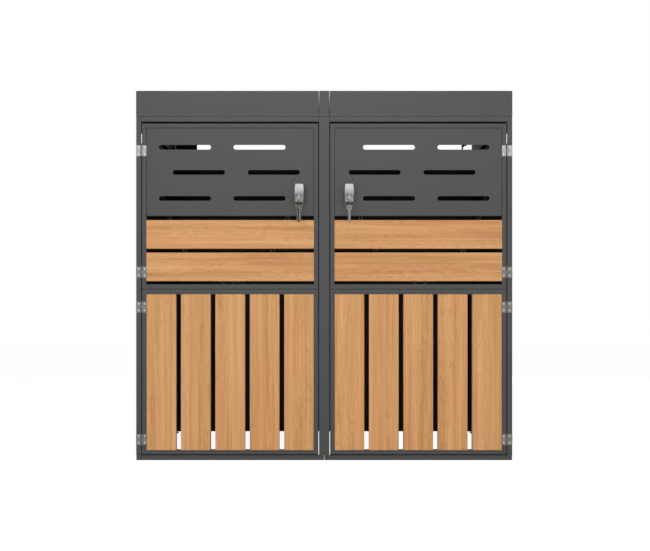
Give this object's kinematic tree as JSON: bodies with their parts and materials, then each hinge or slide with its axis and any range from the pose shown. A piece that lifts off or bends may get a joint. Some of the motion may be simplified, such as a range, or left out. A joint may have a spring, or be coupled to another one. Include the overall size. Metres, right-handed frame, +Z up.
{
  "type": "wheelie bin store",
  "caption": "Free-standing steel store for wheelie bins, with lift-up lids over slatted, slotted double doors on butt hinges, locking turn handles and hanging lid chains.",
  "frame": {"origin": "on the ground, in the middle of the whole store's footprint", "axes": "+X to the right, -Y out of the doors, +Z up"},
  "size_m": [1.32, 0.881, 1.296],
  "materials": {
    "powder_coat": "fine satin powder coat, anthracite grey",
    "boards": "oiled light hardwood with fine straight grain",
    "stainless": "brushed stainless steel",
    "chrome": "chrome plated die casting",
    "zinc": "zinc plated steel",
    "nickel": "nickel plated steel",
    "galvanised": "bright galvanised steel",
    "rubber": "black rubber"
  },
  "bodies": {
    "carcass": {"left_side_frame": "powder_coat", "right_side_frame": "powder_coat", "left_centre_frame": "powder_coat", "right_centre_frame": "powder_coat", "left_side_panel": "powder_coat", "right_side_panel": "powder_coat", "left_rear_panel": "powder_coat", "right_rear_panel": "powder_coat", "left_sills": "powder_coat", "right_sills": "powder_coat", "left_front_top_rail": "powder_coat", "right_front_top_rail": "powder_coat", "left_rear_top_rail": "powder_coat", "right_rear_top_rail": "powder_coat", "centre_post_cover": "powder_coat", "roof_centre_strip": "powder_coat", "module_bolts": "zinc", "post_hinge_leaves": "stainless", "lid_hinge_brackets": "powder_coat", "keepers": "zinc", "lid_buffers": "rubber", "door_seals": "rubber"},
    "left_door": {"left_upper_door_frame": "powder_coat", "left_lower_door_frame": "powder_coat", "left_slotted_sheet": "powder_coat", "left_flat_boards": "boards", "left_upright_boards": "boards", "left_board_cleats": "zinc", "left_door_hinge_leaves": "stainless", "left_handle_rosette": "chrome"},
    "left_lid": {"left_lid": "powder_coat", "left_lid_stiffener": "powder_coat", "left_lid_hinge_ears": "powder_coat", "left_chain_eyes": "zinc"},
    "left_handle": {"left_handle": "chrome", "left_cam": "zinc"},
    "left_key": {"left_lock_plug": "chrome", "left_key": "nickel"},
    "left_key_ring": {"left_key_ring": "nickel", "left_spare_keys": "nickel"},
    "left_chain": {"left_chain": "galvanised"},
    "right_door": {"right_upper_door_frame": "powder_coat", "right_lower_door_frame": "powder_coat", "right_slotted_sheet": "powder_coat", "right_flat_boards": "boards", "right_upright_boards": "boards", "right_board_cleats": "zinc", "right_door_hinge_leaves": "stainless", "right_handle_rosette": "chrome"},
    "right_lid": {"right_lid": "powder_coat", "right_lid_stiffener": "powder_coat", "right_lid_hinge_ears": "powder_coat", "right_chain_eyes": "zinc"},
    "right_handle": {"right_handle": "chrome", "right_cam": "zinc"},
    "right_key": {"right_lock_plug": "chrome", "right_key": "nickel"},
    "right_key_ring": {"right_key_ring": "nickel", "right_spare_key": "nickel"},
    "right_chain": {"right_chain": "galvanised"}
  },
  "joints": [
    {"name": "left_door_hinge", "type": "hinge", "parent": "carcass", "child": "left_door", "pos_m": [-0.6414, -0.383, 0.6], "axis": [0, 0, -1], "range_deg": [0, 175]},
    {"name": "left_lid_hinge", "type": "hinge", "parent": "carcass", "child": "left_lid", "pos_m": [-0.34, 0.4265, 1.276], "axis": [-1, 0, 0], "range_deg": [0, 95]},
    {"name": "left_handle_turn", "type": "hinge", "parent": "left_door", "child": "left_handle", "pos_m": [-0.087, -0.3995, 0.923], "axis": [0, -1, 0], "range_deg": [0, 90]},
    {"name": "left_key_turn", "type": "hinge", "parent": "left_handle", "child": "left_key", "pos_m": [-0.087, -0.4155, 0.915], "axis": [0, -1, 0], "range_deg": [0, 90]},
    {"name": "left_key_ring_swing", "type": "hinge", "parent": "left_key", "child": "left_key_ring", "pos_m": [-0.087, -0.4315, 0.9085], "axis": [-1, 0, 0], "range_deg": [-20, 75]},
    {"name": "left_chain_swing", "type": "hinge", "parent": "left_lid", "child": "left_chain", "pos_m": [-0.34, -0.3315, 1.214], "axis": [-1, 0, 0], "range_deg": [-90, 5]},
    {"name": "right_door_hinge", "type": "hinge", "parent": "carcass", "child": "right_door", "pos_m": [0.6414, -0.383, 0.6], "axis": [0, 0, 1], "range_deg": [0, 175]},
    {"name": "right_lid_hinge", "type": "hinge", "parent": "carcass", "child": "right_lid", "pos_m": [0.34, 0.4265, 1.276], "axis": [-1, 0, 0], "range_deg": [0, 95]},
    {"name": "right_handle_turn", "type": "hinge", "parent": "right_door", "child": "right_handle", "pos_m": [0.087, -0.3995, 0.923], "axis": [0, 1, 0], "range_deg": [0, 90]},
    {"name": "right_key_turn", "type": "hinge", "parent": "right_handle", "child": "right_key", "pos_m": [0.087, -0.4155, 0.915], "axis": [0, 1, 0], "range_deg": [0, 90]},
    {"name": "right_key_ring_swing", "type": "hinge", "parent": "right_key", "child": "right_key_ring", "pos_m": [0.087, -0.4315, 0.9085], "axis": [-1, 0, 0], "range_deg": [-20, 75]},
    {"name": "right_chain_swing", "type": "hinge", "parent": "right_lid", "child": "right_chain", "pos_m": [0.34, -0.3315, 1.214], "axis": [-1, 0, 0], "range_deg": [-90, 5]}
  ],
  "couplings": [
    {"joint": "left_chain_swing", "follows": "left_lid_hinge", "ratio": -0.92},
    {"joint": "right_chain_swing", "follows": "right_lid_hinge", "ratio": -0.92}
  ]
}
